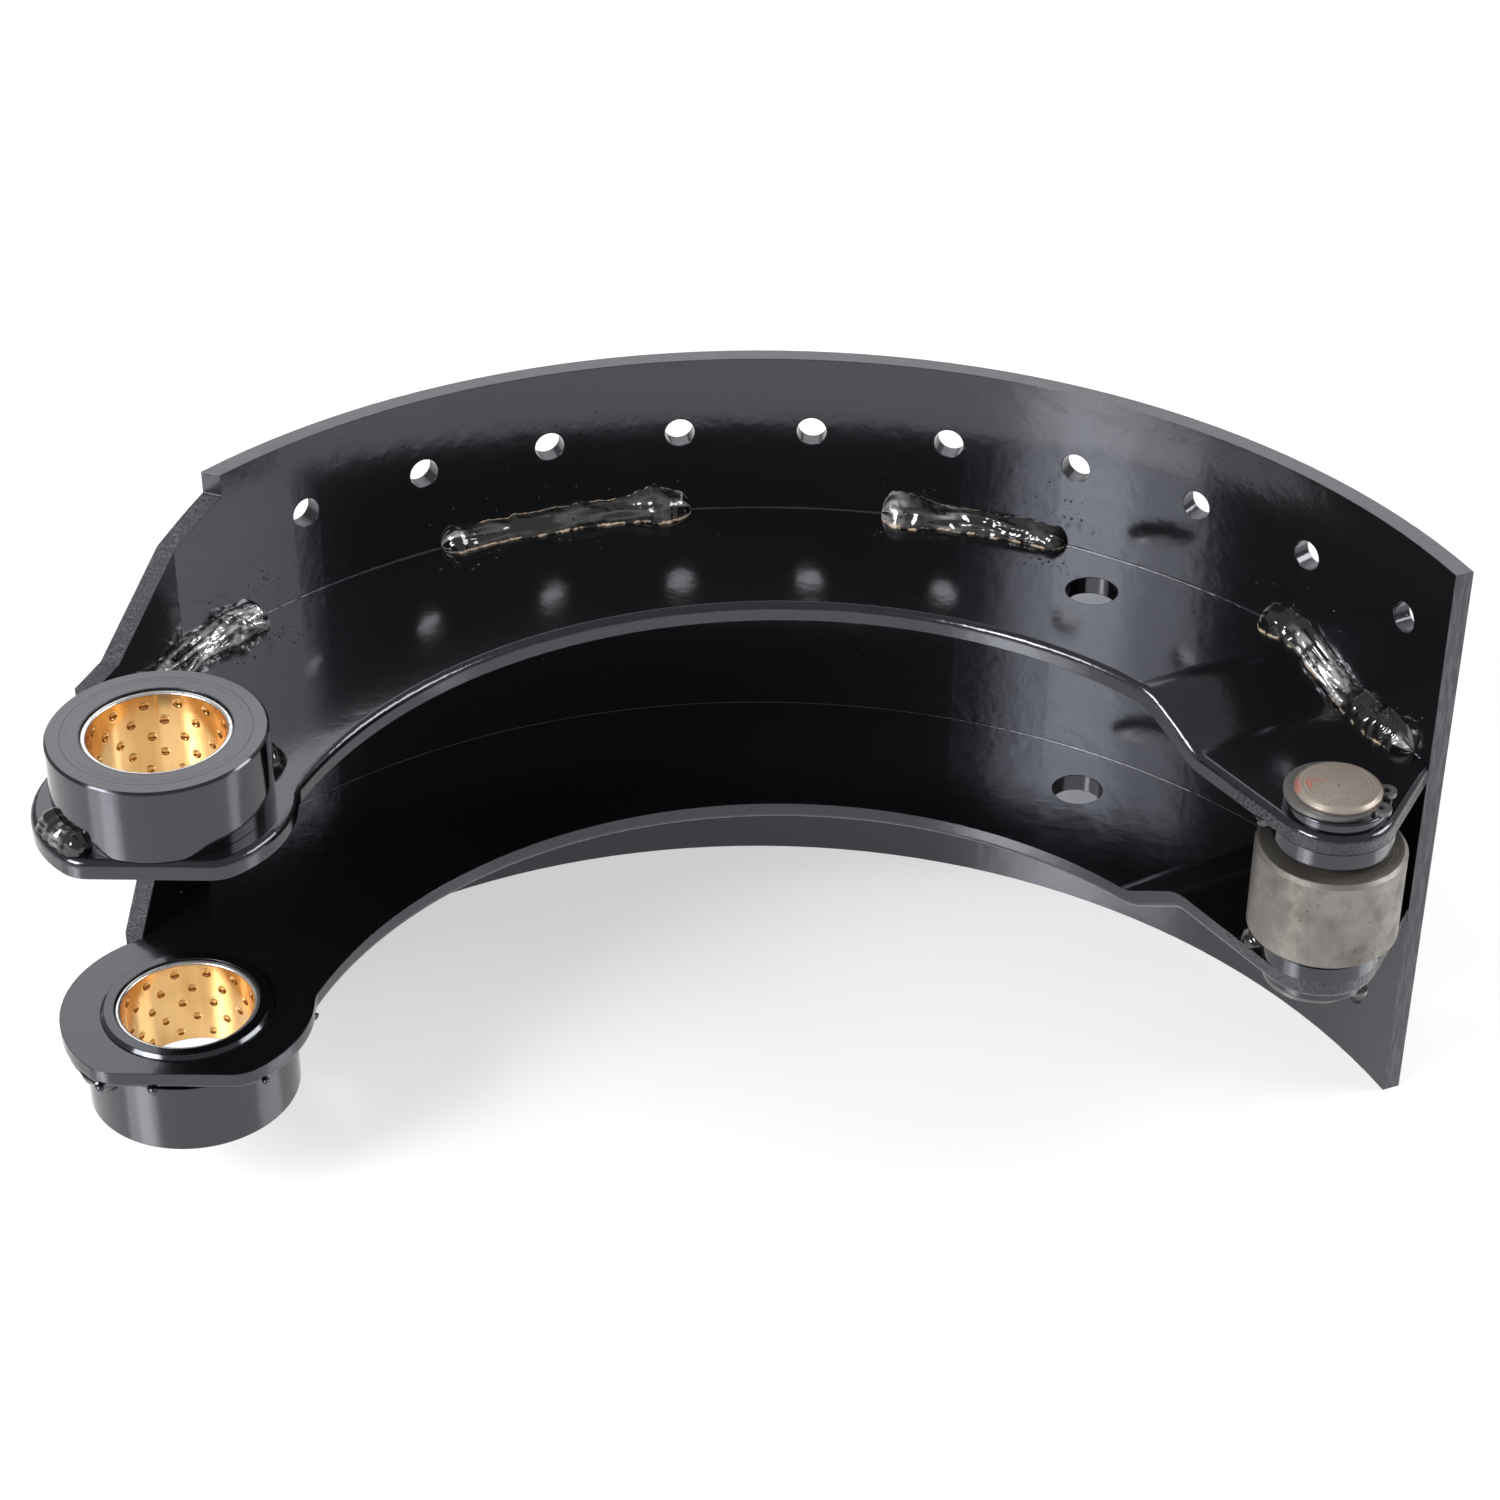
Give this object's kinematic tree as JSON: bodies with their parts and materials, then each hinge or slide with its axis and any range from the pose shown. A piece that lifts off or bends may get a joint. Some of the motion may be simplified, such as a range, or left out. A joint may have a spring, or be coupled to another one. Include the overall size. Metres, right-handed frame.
{
  "type": "drum brake shoe",
  "caption": "Curved brake shoe: a drilled lining table on welded webs, with bushed anchor eyes at one end and a loose cam roller on a pin at the other.",
  "frame": {"origin": "on the anchor pin's axis, halfway between the webs", "axes": "+Z along the anchor pin towards the upper web, +X along the shoe towards the roller, and +Y towards the lining table"},
  "size_m": [0.3518, 0.1755, 0.163],
  "materials": {
    "gloss_paint": "glossy black paint with slight orange peel over pressed sheet steel",
    "turned_paint": "glossy black paint over a turned surface, with faint concentric tool marks",
    "painted_weld": "lumpy weld bead under gloss black paint, bare and straw coloured along its toes",
    "bronze_bush": "bright bronze lining with round grease pockets on a bare steel back",
    "roller_steel": "bare hardened steel, matt grey-brown",
    "pin_steel": "bare turned steel with concentric marks on its ends",
    "circlip_steel": "dark phosphated spring steel"
  },
  "bodies": {
    "shoe": {"shoe_table": "gloss_paint", "web_upper": "gloss_paint", "web_lower": "gloss_paint", "anchor_boss_upper": "turned_paint", "anchor_boss_lower": "turned_paint", "anchor_bush_upper": "bronze_bush", "anchor_bush_lower": "bronze_bush", "roller_pin": "pin_steel", "pin_boss_upper": "turned_paint", "pin_boss_lower": "turned_paint", "circlip_upper": "circlip_steel", "circlip_lower": "circlip_steel", "table_weld_upper_1": "painted_weld", "table_weld_upper_2": "painted_weld", "table_weld_upper_3": "painted_weld", "table_weld_upper_4": "painted_weld", "table_weld_lower_1": "painted_weld", "table_weld_lower_2": "painted_weld", "table_weld_lower_3": "painted_weld", "table_weld_lower_4": "painted_weld", "boss_weld_upper_1": "painted_weld", "boss_weld_upper_2": "painted_weld", "boss_weld_lower_1": "painted_weld", "boss_weld_lower_2": "painted_weld", "pin_boss_weld_upper": "painted_weld", "pin_boss_weld_lower": "painted_weld"},
    "roller": {"cam_roller": "roller_steel"}
  },
  "joints": [
    {"name": "roller_spin", "type": "hinge", "parent": "shoe", "child": "roller", "pos_m": [0.28933, 0.01694, 0], "axis": [0, 0, 1], "continuous": true}
  ]
}
